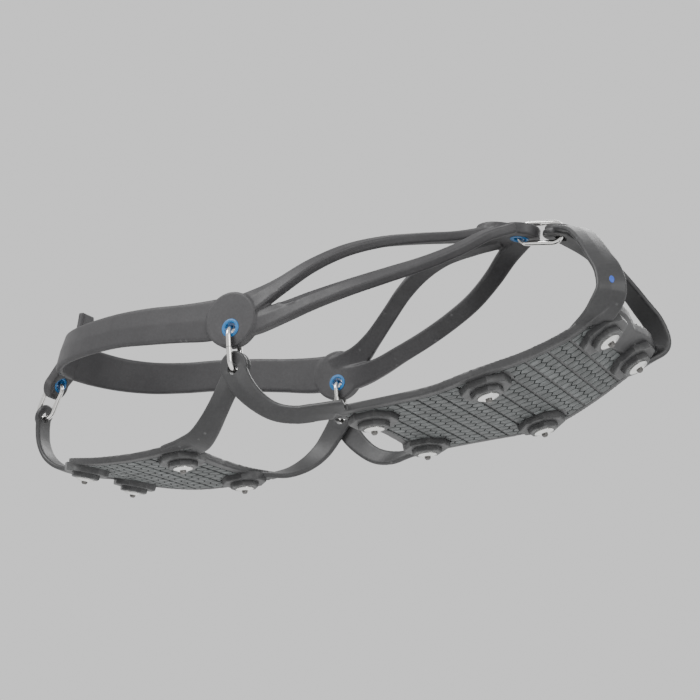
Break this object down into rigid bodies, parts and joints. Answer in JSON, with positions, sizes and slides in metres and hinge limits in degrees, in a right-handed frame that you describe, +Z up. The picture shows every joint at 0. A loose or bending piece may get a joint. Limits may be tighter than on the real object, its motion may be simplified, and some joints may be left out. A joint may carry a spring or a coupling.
{
  "type": "microspikes",
  "caption": "Slip-on shoe traction device in worn shape: studded forefoot and heel plates hung by steel rings from an elastomer harness with a forked front yoke and a heel band.",
  "frame": {"origin": "centre of the bounding box, on the ground plane under the stud tips", "axes": "+X towards the toe, +Y to the wearer's left of the device, +Z up, away from the ground"},
  "size_m": [0.2894, 0.1052, 0.0928],
  "materials": {
    "harness": "matte charcoal elastomer moulding",
    "plate": "matte black urethane moulding",
    "ring": "polished stainless wire",
    "grommet": "satin blue",
    "stud": "turned",
    "tip": "sintered tungsten carbide, ground"
  },
  "bodies": {
    "forefoot": {"forefoot_plate": "plate", "harness": "harness", "toe_grommet": "grommet", "left_grommet": "grommet", "right_grommet": "grommet", "stud_ball_left": "stud", "tip_ball_left": "tip", "stud_ball_right": "stud", "tip_ball_right": "tip", "stud_mid_left": "stud", "tip_mid_left": "tip", "stud_mid_right": "stud", "tip_mid_right": "tip", "stud_toe_left": "stud", "tip_toe_left": "tip", "stud_toe_right": "stud", "tip_toe_right": "tip"},
    "heel": {"heel_plate": "plate", "heel_grommet": "grommet", "stud_heel_front_left": "stud", "tip_heel_front_left": "tip", "stud_heel_front_right": "stud", "tip_heel_front_right": "tip", "stud_heel_rear_left": "stud", "tip_heel_rear_left": "tip", "stud_heel_rear_right": "stud", "tip_heel_rear_right": "tip"},
    "toe_ring": {"toe_ring": "ring"},
    "left_ring": {"left_ring": "ring"},
    "right_ring": {"right_ring": "ring"},
    "heel_ring": {"heel_ring": "ring"}
  },
  "joints": [
    {"name": "heel_fold", "type": "hinge", "parent": "forefoot", "child": "heel", "pos_m": [-0.01058, 0, 0.0312], "axis": [0, 1, 0], "range_deg": [-15, 45], "stiffness_Nm_per_rad": 1, "deforming": ["harness"]},
    {"name": "toe_ring_twist", "type": "hinge", "parent": "forefoot", "child": "toe_ring", "pos_m": [0.10602, 0, 0.07655], "axis": [0.9747, 0, -0.2236], "range_deg": [-15, 15]},
    {"name": "left_ring_twist", "type": "hinge", "parent": "forefoot", "child": "left_ring", "pos_m": [-0.01058, 0.0473, 0.0397], "axis": [0, 0, 1], "range_deg": [-15, 15]},
    {"name": "right_ring_twist", "type": "hinge", "parent": "forefoot", "child": "right_ring", "pos_m": [-0.01058, -0.0473, 0.0397], "axis": [0, 0, 1], "range_deg": [-15, 15]},
    {"name": "heel_ring_twist", "type": "hinge", "parent": "heel", "child": "heel_ring", "pos_m": [-0.13723, 0, 0.05475], "axis": [-0.4734, 0, -0.8809], "range_deg": [-15, 15]}
  ]
}
